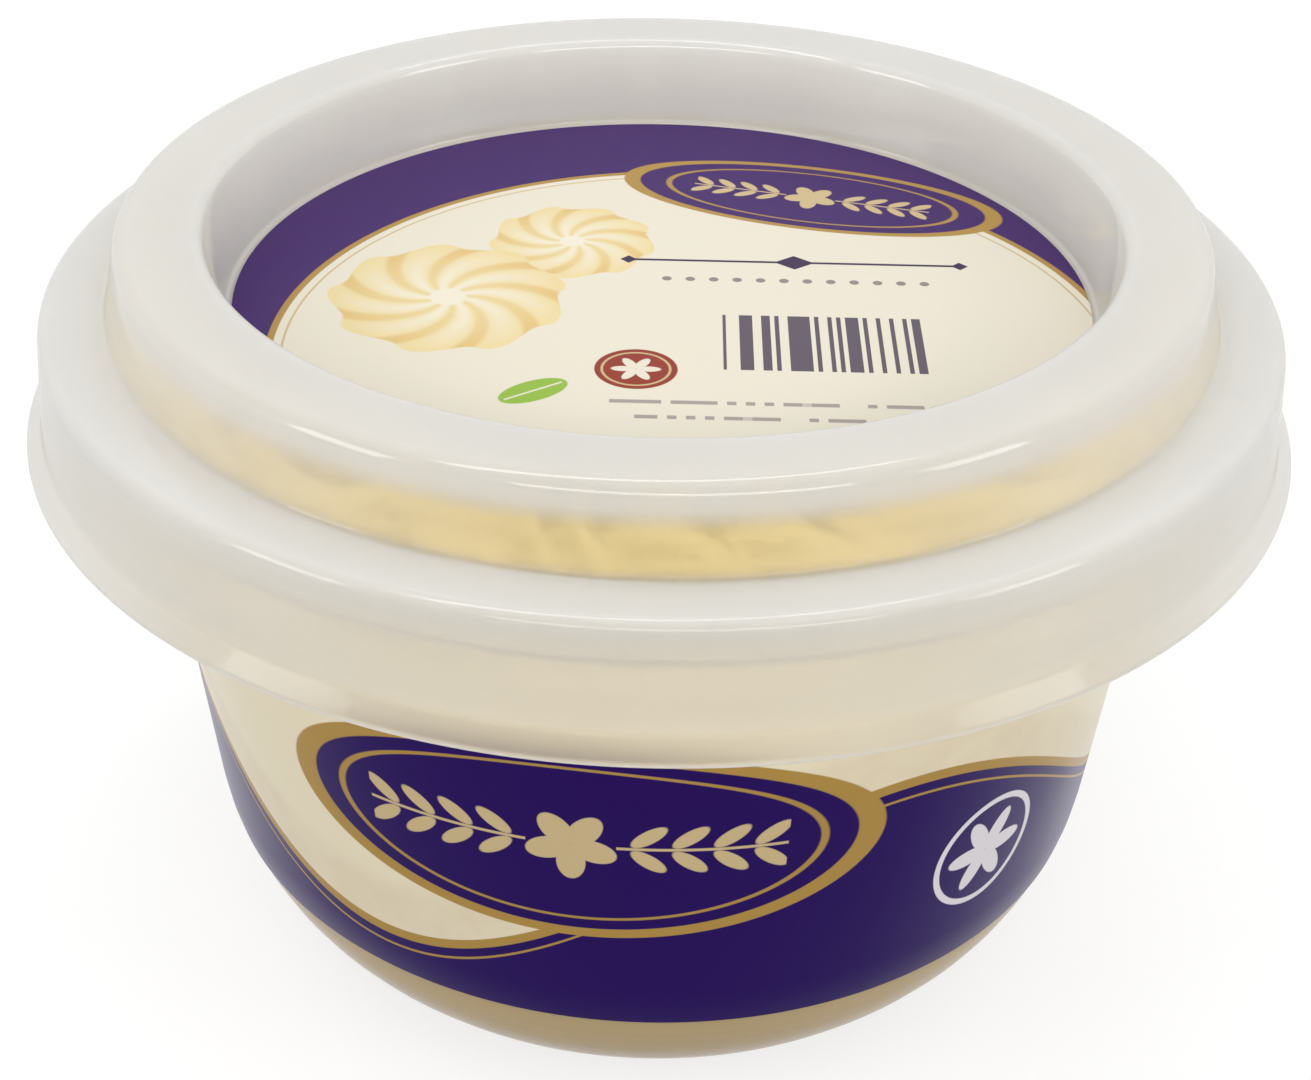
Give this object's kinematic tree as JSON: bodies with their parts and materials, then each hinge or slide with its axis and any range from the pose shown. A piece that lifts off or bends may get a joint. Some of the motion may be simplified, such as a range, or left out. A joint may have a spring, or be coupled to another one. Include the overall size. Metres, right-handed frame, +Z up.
{
  "type": "ice cream cup",
  "caption": "Round tub of vanilla ice cream with a wide brim, a milky pressed-on lid with a raised rim and deep stacking recess, and plain printed labels on lid and wall.",
  "frame": {"origin": "centre of the plane that the foot ring stands on", "axes": "+Z up along the axis of the cup; -Y is the front, where the wrap label's oval badge is; +X is to the right seen from the front"},
  "size_m": [0.1606, 0.1606, 0.102],
  "materials": {
    "tub_plastic": "thin cloudy natural polypropylene, faintly glossy, warmed by the ice cream behind it",
    "tub_label_print": "printed film moulded into the wall, cream with a deep violet band and gold lines, satin gloss",
    "ice_cream": "pale vanilla yellow, soft and matt, slightly rough",
    "lid_plastic": "milky translucent natural polypropylene with soft gloss on its edges",
    "lid_label_print": "printed film moulded into the lid, cream with a violet crescent and gold line, satin gloss"
  },
  "bodies": {
    "root": {"tub": "tub_plastic", "tub_label": "tub_label_print", "ice_cream": "ice_cream", "lid": "lid_plastic", "lid_label": "lid_label_print"}
  },
  "joints": []
}
